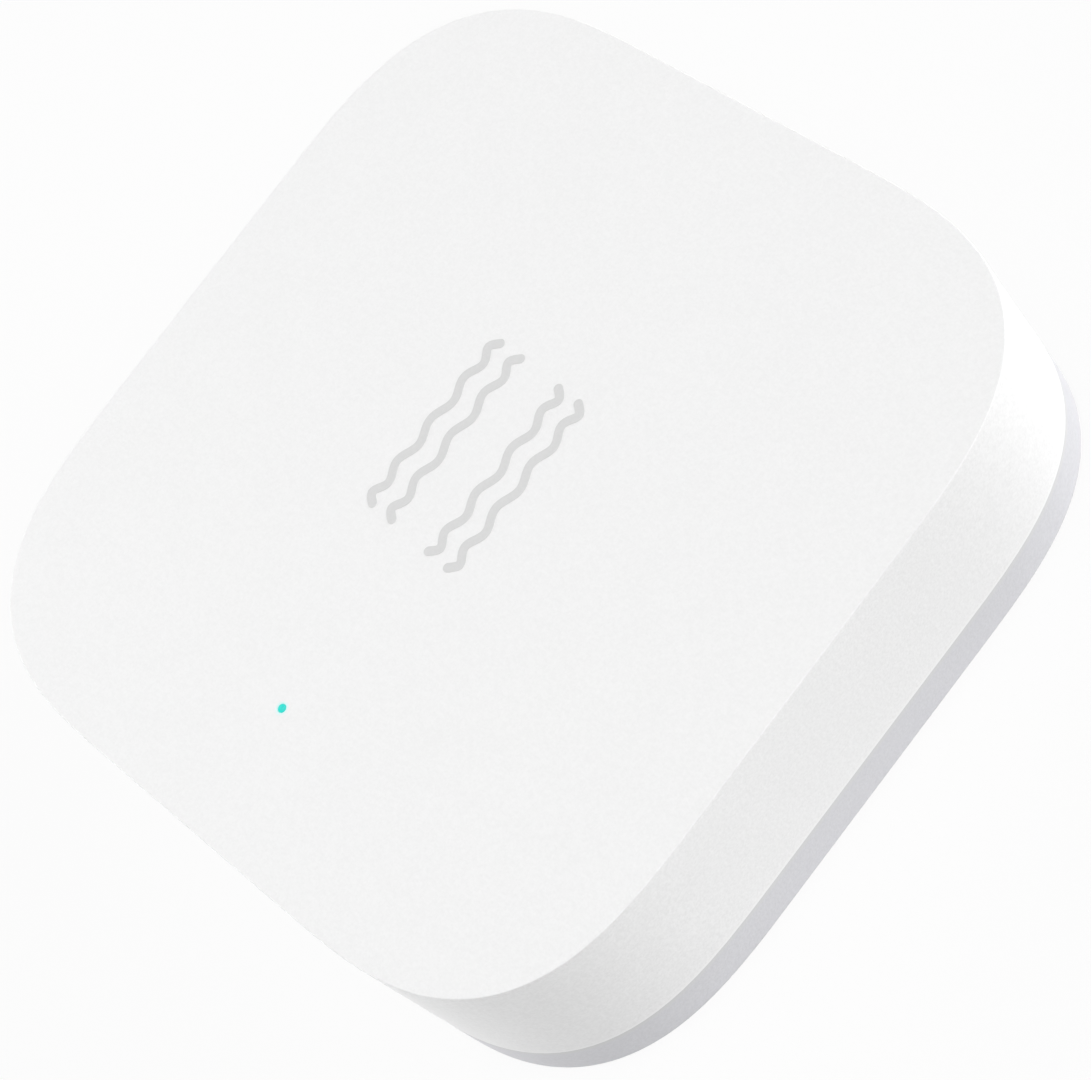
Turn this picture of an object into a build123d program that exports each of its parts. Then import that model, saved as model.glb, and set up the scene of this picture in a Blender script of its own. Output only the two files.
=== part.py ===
from build123d import *
import os
from math import sqrt

# A stick-on vibration sensor tag, in millimetres. +Z points out of the marked face, the signal light
# is towards -Y, the reset button is in the +Y wall, and the origin is the middle of the underside.

os.makedirs("parts", exist_ok=True)

# Outline of the housing. Each corner turns over a stretch of both sides and has no plain radius:
# it leaves the side without a kink in its curvature. The two shares place its control points.
corner_zone = 12.0
corner_near_share = 0.434
corner_far_share = 0.721
zone_per_inset = 1.42

# Walls of the two mouldings
cover_wall = 1.4
cover_top_thickness = 1.2
edge_radius = 0.05
floor_thickness = 1.1
base_strip_height = 2.0

# Lip and snap hooks of the base
lip_gap = 0.1
lip_thickness = 0.9
lip_height = 1.4
hook_width = 3.6
hook_rise = 0.9
hook_slot = 0.5
hook_end_gap = 0.2
barb_reach = 0.35
barb_lead = 0.7
barb_land = 0.15
barb_back = 0.35
catch_gap = 0.1

# Stiffening ribs of the base, and the notch that a fingernail opens it by
rib_thickness = 0.8
ring_rib_gap = 0.5
ring_rib_height = 0.9
pry_width = 7.0
pry_height = 0.9
pry_depth = 1.0

# Adhesive pad under the base
pad_thickness = 0.8
pad_proud = 0.3
pad_margin = 4.0
pad_gap = 0.2

# Coin cell of the usual 20 mm by 3.2 mm size
cell_diameter = 20.0
cell_height = 3.2
cell_sheet = 0.25
cell_bend_radius = 0.3
cell_crimp_drop = 0.3
cell_crimp_width = 0.95
cap_crimp_gap = 0.425
cap_slope_run = 0.3
cap_skirt_length = 1.4
gasket_thickness = 0.3
cathode_height = 1.3
separator_height = 0.12
cell_inner_gap = 0.02

# Holder that clips the cell to the circuit board
cell_clearance = 0.2
holder_wall = 1.2
floor_gap = 0.15
keeper_thickness = 0.35
keeper_reach = 0.8
keeper_width = 3.2
keeper_angle = 32.0
notch_width = 8.0
notch_bridge = 0.9
holder_post_diameter = 1.0
holder_post_height = 0.7
holder_post_angle = 60.0
holder_post_gap = 0.06
touch_gap = 0.02

# Sprung contacts of the cell
contact_room = 0.4
contact_sheet = 0.15
contact_bend_radius = 0.35
positive_width = 5.0
positive_slot_gap = 0.3
positive_foot = 1.8
positive_standoff = 0.55
positive_toe = 0.75
negative_width = 3.6
negative_foot = 1.5
negative_slope = 2.2
negative_flat = 2.4
negative_slot = 1.0

# Circuit board and the room that its parts need over it
board_thickness = 0.8
board_gap = 0.2
parts_room = 1.8
board_hole_gap = 0.3

# Screws that hold the board up against the cover
screw_shank_diameter = 1.1
screw_head_diameter = 2.4
screw_head_height = 0.7
screw_bite = 2.0
screw_tip = 0.3
screw_recess_width = 0.4
screw_recess_length = 1.4
screw_recess_depth = 0.35
boss_diameter = 3.0
boss_inset = 6.4
pilot_gap = 0.05
pilot_spare = 0.2
gusset_thickness = 0.8
gusset_drop = 0.4
pin_diameter = 1.3
pin_length = 1.1

# Reset button and the side-push switch behind it, which sits in a cutout of the board
button_diameter = 2.4
button_gap = 0.08
button_flange_diameter = 3.4
button_flange_thickness = 0.6
button_travel = 0.25
switch_width = 4.4
switch_depth = 2.6
switch_height = 1.5
switch_to_holder = 1.26
switch_frame_sheet = 0.15
switch_seat_gap = 0.1
switch_pocket_width = 2.6
switch_pocket_height = 1.0
switch_tab_reach = 1.1
switch_tab_depth = 1.2
plunger_width = 1.4
plunger_height = 0.7
plunger_reach = 0.7
plunger_foot_width = 2.3
plunger_foot_height = 0.9
plunger_foot_thickness = 0.45
plunger_gap = 0.03
dome_sheet = 0.07
dome_spare = 0.18

# Signal light: a small chip under a light pipe, whose tip is the dot on the face
light_inset = 5.9
light_shift = -0.2
light_tip_diameter = 0.36
light_pipe_diameter = 1.8
light_pipe_flange_diameter = 2.4
light_pipe_flange_thickness = 0.3
light_pipe_gap = 0.02
light_collar_wall = 0.7
light_air_gap = 0.1
light_bore_share = 0.35
light_cone_share = 0.7
led_length = 1.6
led_width = 0.8
led_height = 0.6
led_base_height = 0.25
led_lens_length = 1.0

# Circuit parts, length by width by height
radio_size = (6.0, 6.0, 0.9)
accelerometer_size = (3.0, 3.0, 1.0)
main_crystal_size = (3.2, 2.5, 0.7)
clock_crystal_size = (3.2, 1.5, 0.8)
buffer_capacitor_size = (3.2, 2.5, 1.25)
capacitor_size = (1.6, 0.8, 0.7)
resistor_size = (1.6, 0.8, 0.45)
inductor_size = (1.6, 0.8, 0.8)
chip_edge = 0.12
chip_mark_diameter = 0.6
chip_mark_depth = 0.08
lead_width = 0.3
lead_pitch = 0.6
lead_height = 0.2
lead_proud = 0.05
crystal_lid_inset = 0.2
crystal_lid_share = 0.35
terminal_length = 0.35
terminal_proud = 0.03

# Copper on the board: the printed antenna over it and the test points under it
copper_thickness = 0.05
antenna_turns = 5
antenna_pitch = 1.3
antenna_track = 0.5
antenna_length = 3.0
antenna_margin = 0.6
test_point_diameter = 1.1
test_point_pitch = 2.0
test_point_count = 5
test_point_margin = 1.6

# Places of the circuit parts, as shares of the board's half width along X and along Y, and their turn
radio_place_share = (-0.37, 0.03, 0)
accelerometer_place_share = (0.34, 0.0, 0)
main_crystal_place_share = (-0.37, -0.36, 0)
clock_crystal_place_share = (-0.37, 0.36, 0)
buffer_place_shares = ((0.66, -0.2, 0), (0.66, 0.2, 0))
capacitor_place_shares = (
    (-0.1, 0.17, 90),
    (-0.1, -0.03, 90),
    (0.3, 0.24, 0),
    (0.3, -0.24, 0),
    (-0.12, -0.4, 90),
    (0.16, 0.62, 0),
)
resistor_place_shares = (
    (0.12, 0.4, 90),
    (-0.16, 0.56, 0),
    (0.2, -0.62, 0),
    (0.36, -0.62, 0),
    (0.1, -0.4, 90),
)
inductor_place_shares = ((-0.62, -0.4, 90), (-0.62, 0.4, 90))

# One overrun serves every cut that leaves a piece
overrun = 1.0

# Levels, from the underside up. The height is what the stack of floor, cell, board and top needs.
base_bottom = pad_proud
floor_top = base_bottom + floor_thickness
seam_level = base_bottom + base_strip_height
holder_bottom = floor_top + floor_gap
cell_bottom = holder_bottom + keeper_thickness
cell_top = cell_bottom + cell_height
board_bottom = cell_top + contact_room
board_top = board_bottom + board_thickness
board_middle = board_bottom + board_thickness / 2
ceiling = board_top + parts_room
face_level = ceiling + cover_top_thickness
lip_top = seam_level + lip_height
hook_top = lip_top + hook_rise

# Reaches from the centre line. The width is what the cell, the switch, the button and the wall need.
cell_radius = cell_diameter / 2
holder_inner = cell_radius + cell_clearance
holder_outer = holder_inner + holder_wall
switch_back = holder_outer + switch_to_holder
switch_front = switch_back + switch_depth
plunger_tip = switch_front + plunger_reach
flange_back = plunger_tip + touch_gap
flange_front = flange_back + button_flange_thickness
wall_inside = flange_front + touch_gap
half_width = wall_inside + cover_wall
lip_inset = cover_wall + lip_gap
lip_outside = half_width - lip_inset
lip_inside = lip_outside - lip_thickness
board_inset = cover_wall + board_gap
board_half = half_width - board_inset
boss_place = half_width - boss_inset
light_reach = light_inset - half_width

# The corner's middle lies at this share of its zone: the middle of a degree five Bezier curve
corner_middle_share = (16 + 10 * corner_far_share + 5 * corner_near_share) / 32


def zone_at(inset):
    """Stretch of a side that the corner turns over, on the outline drawn in by inset."""
    return corner_zone - inset * zone_per_inset


def outline(inset):
    """Face of the housing's outline, drawn in by inset on every side."""
    half = half_width - inset
    zone = zone_at(inset)
    straight = half - zone
    near = straight + zone * corner_near_share
    far = straight + zone * corner_far_share
    with BuildSketch() as shape:
        with BuildLine():
            side = Line((half, -straight), (half, straight))
            corner = Bezier(
                (half, straight), (half, near), (half, far), (far, half), (near, half), (straight, half)
            )
            for turn in (90, 180, 270):
                add(side, rotation=turn)
                add(corner, rotation=turn)
        make_face()
    return shape.sketch


def corner_reach(inset):
    """Distance from the centre line to the outline along its diagonal."""
    zone = zone_at(inset)
    return (half_width - inset - zone + zone * corner_middle_share) * sqrt(2)


def across_side(turn, shift):
    """Plane across a side wall: its x runs outwards and its y up. The +X wall has a turn of 0."""
    outwards = Vector(1, 0, 0).rotate(Axis.Z, turn)
    along = Vector(0, 1, 0).rotate(Axis.Z, turn)
    return Plane(origin=along * shift, x_dir=outwards, z_dir=-along)


def facing_y(reach, level):
    """Plane square to +Y, at a reach along Y and with its origin at a level."""
    return Plane(origin=(0, reach, level), x_dir=(-1, 0, 0), z_dir=(0, 1, 0))


def on_board(shares):
    """Places over the circuit board, from shares of its half width and a turn about Z."""
    return [Location((x * board_half, y * board_half, board_top), (0, 0, turn)) for x, y, turn in shares]


def plain_chip(size):
    """Black chip: a block with bevelled top edges and a round mark at its first lead."""
    length, width, height = size
    with BuildPart() as chip:
        Box(length, width, height, align=(Align.CENTER, Align.CENTER, Align.MIN))
        chamfer(chip.faces().sort_by(Axis.Z)[-1].edges(), length=chip_edge)
        mark = chip_edge + chip_mark_diameter
        with Locations((mark - length / 2, width / 2 - mark, height)):
            Hole(chip_mark_diameter / 2, depth=chip_mark_depth)
    return chip.part


def crystal_can(size):
    """Crystal: a ceramic base with a metal lid that is drawn in on every side."""
    length, width, height = size
    with BuildPart() as can:
        Box(length, width, height * crystal_lid_share, align=(Align.CENTER, Align.CENTER, Align.MIN))
        Box(
            length - crystal_lid_inset,
            width - crystal_lid_inset,
            height,
            align=(Align.CENTER, Align.CENTER, Align.MIN),
        )
        fillet(can.edges().filter_by(Axis.Z), radius=crystal_lid_inset / 2)
    return can.part


def two_ended_chip(size):
    """Small part with a soldered terminal at each end that stands a little proud."""
    length, width, height = size
    with BuildPart() as chip:
        Box(
            length,
            width - 2 * terminal_proud,
            height - terminal_proud,
            align=(Align.CENTER, Align.CENTER, Align.MIN),
        )
        with Locations((terminal_length / 2 - length / 2, 0), (length / 2 - terminal_length / 2, 0)):
            Box(terminal_length, width, height, align=(Align.CENTER, Align.CENTER, Align.MIN))
    return chip.part


# Six hooks: two on the -Y and +Y sides, clear of the button, and one on the -X and +X sides
hook_shift = half_width - lip_inset - zone_at(lip_inset) - hook_width / 2 - hook_end_gap
hook_places = ((0, 0), (180, 0), (90, hook_shift), (90, -hook_shift), (270, hook_shift), (270, -hook_shift))
barb_bottom = hook_top - barb_lead - barb_land - barb_back

# Three corners have a screw and the fourth has a locating pin
screw_places = ((-boss_place, -boss_place), (boss_place, -boss_place), (boss_place, boss_place))
pin_place = (-boss_place, boss_place)
corner_places = (*screw_places, pin_place)
screw_tip_level = board_bottom + board_thickness + screw_bite

# Light pipe: its shoulder seats in a cone under the face
light_bore_top = ceiling + cover_top_thickness * light_bore_share
light_cone_top = ceiling + cover_top_thickness * light_cone_share
light_pipe_bottom = board_top + led_height + light_air_gap
light_collar_bottom = light_pipe_bottom + light_pipe_flange_thickness + light_pipe_gap
light_collar_diameter = light_pipe_diameter + 2 * light_collar_wall
light_axis = Axis((light_shift, light_reach, 0), (0, 0, 1))
light_section = Plane(origin=light_axis.position, x_dir=(1, 0, 0), z_dir=(0, -1, 0))


# Top cover: white shell with bosses, light collar, catches for the hooks and the button's hole
with BuildPart() as top_cover:
    with BuildSketch(Plane.XY.offset(seam_level)):
        add(outline(0))
    extrude(amount=face_level - seam_level)
    fillet(top_cover.faces().sort_by(Axis.Z)[-1].edges(), radius=edge_radius)
    with BuildSketch(Plane.XY.offset(seam_level)):
        add(outline(cover_wall))
    extrude(amount=ceiling - seam_level, mode=Mode.SUBTRACT)

    # Bosses down to the board, each with a gusset to the corner of the wall
    with BuildSketch(Plane.XY.offset(board_top)):
        with Locations(*corner_places):
            Circle(boss_diameter / 2)
    extrude(amount=parts_room)
    gusset_start = boss_place * sqrt(2)
    gusset_end = corner_reach(cover_wall / 2)
    with BuildSketch(Plane.XY.offset(board_top + gusset_drop)):
        with PolarLocations((gusset_start + gusset_end) / 2, 4, start_angle=45):
            Rectangle(gusset_end - gusset_start, gusset_thickness)
    extrude(amount=parts_room - gusset_drop)
    with BuildSketch(Plane.XY.offset(board_top)):
        with Locations(*screw_places):
            Circle(screw_shank_diameter / 2 + pilot_gap)
    extrude(amount=screw_bite + pilot_spare, mode=Mode.SUBTRACT)
    with BuildSketch(Plane.XY.offset(board_top - pin_length)):
        with Locations(pin_place):
            Circle(pin_diameter / 2)
    extrude(amount=pin_length)

    # Collar for the light pipe, and the stepped hole that ends in the dot on the face
    with BuildSketch(Plane.XY.offset(light_collar_bottom)):
        with Locations((light_shift, light_reach)):
            Circle(light_collar_diameter / 2)
    extrude(amount=ceiling - light_collar_bottom)
    with BuildSketch(light_section):
        with BuildLine():
            Polyline(
                (0, light_collar_bottom),
                (light_pipe_diameter / 2 + light_pipe_gap, light_collar_bottom),
                (light_pipe_diameter / 2 + light_pipe_gap, light_bore_top),
                (light_tip_diameter / 2 + light_pipe_gap, light_cone_top),
                (light_tip_diameter / 2 + light_pipe_gap, face_level),
                (0, face_level),
                close=True,
            )
        make_face()
    revolve(axis=light_axis, mode=Mode.SUBTRACT)

    # Catches: pockets in the wall that the hooks' barbs snap into
    for turn, shift in hook_places:
        with BuildSketch(across_side(turn, shift)):
            with Locations((wall_inside, barb_bottom - catch_gap)):
                Rectangle(
                    barb_reach - lip_gap + catch_gap,
                    hook_top - barb_bottom + 2 * catch_gap,
                    align=(Align.MIN, Align.MIN),
                )
        extrude(amount=hook_width / 2 + catch_gap, both=True, mode=Mode.SUBTRACT)

    # Hole for the reset button
    with BuildSketch(facing_y(wall_inside, board_middle)):
        Circle(button_diameter / 2 + button_gap)
    extrude(amount=cover_wall + overrun, mode=Mode.SUBTRACT)

top_cover.part.label = "top_cover"
export_step(top_cover.part, "parts/top_cover.step")

# Base cover: grey tray with a lip, snap hooks, ribs and a recess for the pad
with BuildPart() as base_cover:
    with BuildSketch(Plane.XY.offset(base_bottom)):
        add(outline(0))
    extrude(amount=base_strip_height)
    fillet(base_cover.faces().sort_by(Axis.Z)[0].edges(), radius=edge_radius)
    with BuildSketch(Plane.XY.offset(seam_level)):
        add(outline(lip_inset))
    extrude(amount=lip_height)
    with BuildSketch(Plane.XY.offset(floor_top)):
        add(outline(lip_inset + lip_thickness))
    extrude(amount=lip_top - floor_top, mode=Mode.SUBTRACT)

    # Recess under the floor for the adhesive pad
    with BuildSketch(Plane.XY.offset(base_bottom)):
        add(outline(pad_margin - pad_gap))
    extrude(amount=pad_thickness - pad_proud, mode=Mode.SUBTRACT)

    # Ring rib round the cell holder, joined to the lip by spokes
    ring_rib_inside = holder_outer + ring_rib_gap
    with BuildSketch(Plane.XY.offset(floor_top)):
        Circle(ring_rib_inside + rib_thickness)
        Circle(ring_rib_inside, mode=Mode.SUBTRACT)
        spoke_start = ring_rib_inside + rib_thickness / 2
        for spoke_end, first_angle in ((lip_inside + lip_thickness / 2, 0), (corner_reach(lip_inset), 45)):
            with PolarLocations((spoke_start + spoke_end) / 2, 4, start_angle=first_angle):
                Rectangle(spoke_end - spoke_start, rib_thickness)
    extrude(amount=ring_rib_height)

    # Snap hooks: each is a tongue of the lip between two slots, with a barb outside
    for turn, shift in hook_places:
        with BuildSketch(across_side(turn, shift)):
            with Locations((lip_inside, seam_level)):
                Rectangle(lip_thickness + overrun, lip_height + overrun, align=(Align.MIN, Align.MIN))
        extrude(amount=hook_width / 2 + hook_slot, both=True, mode=Mode.SUBTRACT)
        with BuildSketch(across_side(turn, shift)):
            with BuildLine():
                Polyline(
                    (lip_inside, seam_level),
                    (lip_outside, seam_level),
                    (lip_outside, barb_bottom),
                    (lip_outside + barb_reach, barb_bottom + barb_back),
                    (lip_outside + barb_reach, barb_bottom + barb_back + barb_land),
                    (lip_outside, hook_top),
                    (lip_inside, hook_top),
                    close=True,
                )
            make_face()
        extrude(amount=hook_width / 2, both=True)

    # Notch in the strip to open the tag by, on the side of the signal light
    with BuildSketch(across_side(270, 0)):
        with Locations((half_width - pry_depth, seam_level - pry_height)):
            Rectangle(pry_depth + overrun, pry_height + overrun, align=(Align.MIN, Align.MIN))
    extrude(amount=pry_width / 2, both=True, mode=Mode.SUBTRACT)

base_cover.part.label = "base_cover"
export_step(base_cover.part, "parts/base_cover.step")

# Adhesive pad: foam tape that stands a little proud of the base
with BuildPart() as adhesive_pad:
    with BuildSketch():
        add(outline(pad_margin))
    extrude(amount=pad_thickness)

adhesive_pad.part.label = "adhesive_pad"
export_step(adhesive_pad.part, "parts/adhesive_pad.step")

# Light pipe: clear pin with a flange under the collar and a fine tip through the face
with BuildPart() as light_pipe:
    with BuildSketch(light_section):
        with BuildLine():
            Polyline(
                (0, light_pipe_bottom),
                (light_pipe_flange_diameter / 2, light_pipe_bottom),
                (light_pipe_flange_diameter / 2, light_pipe_bottom + light_pipe_flange_thickness),
                (light_pipe_diameter / 2, light_pipe_bottom + light_pipe_flange_thickness),
                (light_pipe_diameter / 2, light_bore_top - light_pipe_gap),
                (light_tip_diameter / 2, light_cone_top - light_pipe_gap),
                (light_tip_diameter / 2, face_level),
                (0, face_level),
                close=True,
            )
        make_face()
    revolve(axis=light_axis)

light_pipe.part.label = "light_pipe"
export_step(light_pipe.part, "parts/light_pipe.step")

# Reset button: round cap in the wall, kept in by its flange
with BuildPart() as reset_button:
    with BuildSketch(facing_y(flange_back, board_middle)):
        Circle(button_flange_diameter / 2)
    extrude(amount=button_flange_thickness)
    with BuildSketch(facing_y(flange_front, board_middle)):
        Circle(button_diameter / 2)
    extrude(amount=half_width - flange_front)
    fillet(reset_button.faces().sort_by(Axis.Y)[-1].edges(), radius=edge_radius)

reset_button.part.label = "reset_button"
export_step(reset_button.part, "parts/reset_button.step")

# Circuit board: follows the cover's wall, with a cutout for the switch
holder_post_places = [
    (holder_inner + holder_wall / 2) * Vector(1, 0).rotate(Axis.Z, angle)
    for angle in (holder_post_angle, holder_post_angle + 180)
]
switch_seat_half = switch_width / 2 + switch_frame_sheet + switch_seat_gap
with BuildPart() as circuit_board:
    with BuildSketch(Plane.XY.offset(board_bottom)):
        add(outline(board_inset))
        with Locations((0, switch_back - switch_seat_gap)):
            Rectangle(
                2 * switch_seat_half,
                half_width - switch_back,
                align=(Align.CENTER, Align.MIN),
                mode=Mode.SUBTRACT,
            )
        with Locations(*screw_places):
            Circle(screw_shank_diameter / 2 + board_hole_gap, mode=Mode.SUBTRACT)
        with Locations(pin_place):
            Circle(pin_diameter / 2 + pilot_gap, mode=Mode.SUBTRACT)
        with Locations(*holder_post_places):
            Circle(holder_post_diameter / 2 + holder_post_gap, mode=Mode.SUBTRACT)
    extrude(amount=board_thickness)

circuit_board.part.label = "circuit_board"
export_step(circuit_board.part, "parts/circuit_board.step")

# Board screws: pan heads with a cross recess, threads left off
with BuildPart() as board_screws:
    with BuildSketch(Plane.XY.offset(board_bottom - screw_head_height)):
        with Locations(*screw_places):
            Circle(screw_head_diameter / 2)
    extrude(amount=screw_head_height)
    fillet(
        board_screws.faces().filter_by(Plane.XY).group_by(Axis.Z)[0].edges(),
        radius=screw_head_height - screw_recess_depth,
    )
    with BuildSketch(Plane.XY.offset(board_bottom)):
        with Locations(*screw_places):
            Circle(screw_shank_diameter / 2)
    extrude(amount=screw_tip_level - board_bottom)
    chamfer(
        board_screws.faces().filter_by(Plane.XY).group_by(Axis.Z)[-1].edges(),
        length=screw_tip,
    )
    with BuildSketch(Plane.XY.offset(board_bottom - screw_head_height)):
        with Locations(*screw_places):
            Rectangle(screw_recess_length, screw_recess_width)
            Rectangle(screw_recess_width, screw_recess_length)
    extrude(amount=screw_recess_depth, mode=Mode.SUBTRACT)

board_screws.part.label = "board_screws"
export_step(board_screws.part, "parts/board_screws.step")

# Switch base: moulded block with a pocket for the dome and the plunger's foot
frame_back = switch_front - switch_frame_sheet
foot_front = frame_back - plunger_gap
foot_back = foot_front - plunger_foot_thickness
dome_front = foot_back - touch_gap
pocket_back = dome_front - dome_sheet - button_travel - dome_spare
with BuildPart() as switch_base:
    with BuildSketch(facing_y(switch_back, board_middle)):
        Rectangle(switch_width, switch_height)
    extrude(amount=frame_back - switch_back)
    with BuildSketch(facing_y(pocket_back, board_middle)):
        Rectangle(switch_pocket_width, switch_pocket_height)
    extrude(amount=frame_back - pocket_back, mode=Mode.SUBTRACT)

switch_base.part.label = "switch_base"
export_step(switch_base.part, "parts/switch_base.step")

# Switch frame: bent sheet over the base, with a window for the plunger and a tab each side on the board
frame_half = switch_width / 2 + switch_frame_sheet
frame_foot = board_middle - switch_height / 2
with BuildPart() as switch_frame:
    with BuildSketch(facing_y(switch_back, frame_foot)):
        Rectangle(2 * frame_half, switch_height + switch_frame_sheet, align=(Align.CENTER, Align.MIN))
        Rectangle(switch_width, switch_height, align=(Align.CENTER, Align.MIN), mode=Mode.SUBTRACT)
    extrude(amount=frame_back - switch_back)
    with BuildSketch(facing_y(frame_back, frame_foot)):
        Rectangle(2 * frame_half, switch_height + switch_frame_sheet, align=(Align.CENTER, Align.MIN))
        with Locations((0, switch_height / 2)):
            Rectangle(plunger_width + 2 * plunger_gap, plunger_height + 2 * plunger_gap, mode=Mode.SUBTRACT)
    extrude(amount=switch_frame_sheet)
    with BuildSketch(Plane.XY.offset(board_top)):
        tab_middle = frame_half - switch_frame_sheet / 2 + switch_tab_reach / 2
        with Locations((0, switch_back + switch_depth / 2)):
            with GridLocations(2 * tab_middle, 0, 2, 1):
                Rectangle(switch_tab_reach + switch_frame_sheet, switch_tab_depth)
    extrude(amount=switch_frame_sheet)

switch_frame.part.label = "switch_frame"
export_step(switch_frame.part, "parts/switch_frame.step")

# Switch plunger: its foot is held behind the frame and its stem reaches the button
with BuildPart() as switch_plunger:
    with BuildSketch(facing_y(foot_back, board_middle)):
        Rectangle(plunger_foot_width, plunger_foot_height)
    extrude(amount=plunger_foot_thickness)
    with BuildSketch(facing_y(foot_front, board_middle)):
        Rectangle(plunger_width, plunger_height)
    extrude(amount=plunger_tip - foot_front)

switch_plunger.part.label = "switch_plunger"
export_step(switch_plunger.part, "parts/switch_plunger.step")

# Switch dome: sprung leaf that clicks flat as the plunger's foot presses it
with BuildPart() as switch_dome:
    with BuildSketch(Plane.XY.offset(board_middle)):
        with BuildLine() as leaf:
            ThreePointArc(
                (-plunger_foot_width / 2, pocket_back + dome_sheet / 2),
                (0, dome_front - dome_sheet / 2),
                (plunger_foot_width / 2, pocket_back + dome_sheet / 2),
            )
        trace(leaf.line, line_width=dome_sheet)
    extrude(amount=plunger_height / 2, both=True)

switch_dome.part.label = "switch_dome"
export_step(switch_dome.part, "parts/switch_dome.step")

# Cell holder: moulded ring under the board, with keepers, a slot for the contact and a finger notch
with BuildPart() as cell_holder:
    with BuildSketch(Plane.XY.offset(holder_bottom)):
        Circle(holder_outer)
        Circle(holder_inner, mode=Mode.SUBTRACT)
    extrude(amount=board_bottom - holder_bottom)
    chamfer(
        cell_holder.faces().sort_by(Axis.Z)[0].edges().sort_by(SortBy.RADIUS)[-1],
        length=keeper_thickness,
    )
    with BuildSketch(Plane.XY.offset(holder_bottom)):
        keeper_start = cell_radius - keeper_reach
        keeper_end = holder_inner + holder_wall / 2
        for angle in (180 - keeper_angle, 180 + keeper_angle):
            with PolarLocations((keeper_start + keeper_end) / 2, 1, start_angle=angle):
                Rectangle(keeper_end - keeper_start, keeper_width)
    extrude(amount=keeper_thickness - touch_gap)
    with BuildSketch(Plane.XY.offset(holder_bottom)):
        with Locations((holder_outer, 0)):
            Rectangle(holder_outer, positive_width + 2 * positive_slot_gap)
    extrude(amount=board_bottom - holder_bottom, mode=Mode.SUBTRACT)
    with BuildSketch(Plane.XY.offset(holder_bottom)):
        with Locations((0, -holder_outer)):
            Rectangle(notch_width, holder_outer)
    extrude(amount=board_bottom - holder_bottom - notch_bridge, mode=Mode.SUBTRACT)
    with BuildSketch(Plane.XY.offset(board_bottom)):
        with Locations(*holder_post_places):
            Circle(holder_post_diameter / 2)
    extrude(amount=holder_post_height)

cell_holder.part.label = "cell_holder"
export_step(cell_holder.part, "parts/cell_holder.step")

# Positive contact: strip from the board, down the side of the cell and under its edge
foot_level = board_bottom - contact_sheet / 2
toe_level = cell_bottom - touch_gap - contact_sheet / 2
leg_reach = cell_radius + positive_standoff
with BuildPart() as positive_contact:
    with BuildSketch(across_side(0, 0)):
        with BuildLine() as strip:
            FilletPolyline(
                (leg_reach + positive_foot, foot_level),
                (leg_reach, foot_level),
                (cell_radius + touch_gap + contact_sheet / 2, (cell_bottom + cell_top) / 2),
                (leg_reach, toe_level),
                (cell_radius - positive_toe, toe_level),
                radius=contact_bend_radius,
            )
        trace(strip.line, line_width=contact_sheet)
    extrude(amount=positive_width / 2, both=True)

positive_contact.part.label = "positive_contact"
export_step(positive_contact.part, "parts/positive_contact.step")

# Negative contact: two sprung leaves that bow down from the board to the cell's cap
leaf_level = cell_top + touch_gap + contact_sheet / 2
slope_end = negative_flat / 2 + negative_slope
with BuildPart() as negative_contact:
    with BuildSketch(across_side(90, 0)):
        with BuildLine() as bow:
            FilletPolyline(
                (-slope_end - negative_foot, foot_level),
                (-slope_end, foot_level),
                (-negative_flat / 2, leaf_level),
                (negative_flat / 2, leaf_level),
                (slope_end, foot_level),
                (slope_end + negative_foot, foot_level),
                radius=contact_bend_radius,
            )
        trace(bow.line, line_width=contact_sheet)
    extrude(amount=negative_width / 2, both=True)
    with BuildSketch(Plane.XY.offset(cell_top)):
        Rectangle(negative_slot, 2 * slope_end)
    extrude(amount=contact_room, mode=Mode.SUBTRACT)

negative_contact.part.label = "negative_contact"
export_step(negative_contact.part, "parts/negative_contact.step")

# Coin cell. The can is the positive pole and faces the base.
crimp_level = cell_top - cell_crimp_drop - cell_sheet / 2
crimp_end = cell_radius - cell_sheet / 2 - cell_crimp_width
cap_top_radius = crimp_end - cap_crimp_gap - cap_slope_run
with BuildPart() as cell_can:
    with BuildSketch(Plane.XZ):
        with BuildLine() as can_line:
            FilletPolyline(
                (0, cell_bottom + cell_sheet / 2),
                (cell_radius - cell_sheet / 2, cell_bottom + cell_sheet / 2),
                (cell_radius - cell_sheet / 2, crimp_level),
                (crimp_end, crimp_level),
                radius=cell_bend_radius,
            )
        trace(can_line.line, line_width=cell_sheet)
    revolve(axis=Axis.Z)

cell_can.part.label = "cell_can"
export_step(cell_can.part, "parts/cell_can.step")

# Cell gasket: nylon ring between the can's crimp and the cap
gasket_radius = cell_radius - cell_sheet - cell_inner_gap - gasket_thickness / 2
gasket_level = crimp_level - cell_sheet / 2 - cell_inner_gap - gasket_thickness / 2
inside_bottom = cell_bottom + cell_sheet + cell_inner_gap
with BuildPart() as cell_gasket:
    with BuildSketch(Plane.XZ):
        with BuildLine() as gasket_line:
            FilletPolyline(
                (crimp_end, gasket_level),
                (gasket_radius, gasket_level),
                (gasket_radius, inside_bottom + cell_bend_radius),
                radius=cell_bend_radius,
            )
        trace(gasket_line.line, line_width=gasket_thickness)
    revolve(axis=Axis.Z)

cell_gasket.part.label = "cell_gasket"
export_step(cell_gasket.part, "parts/cell_gasket.step")

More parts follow.
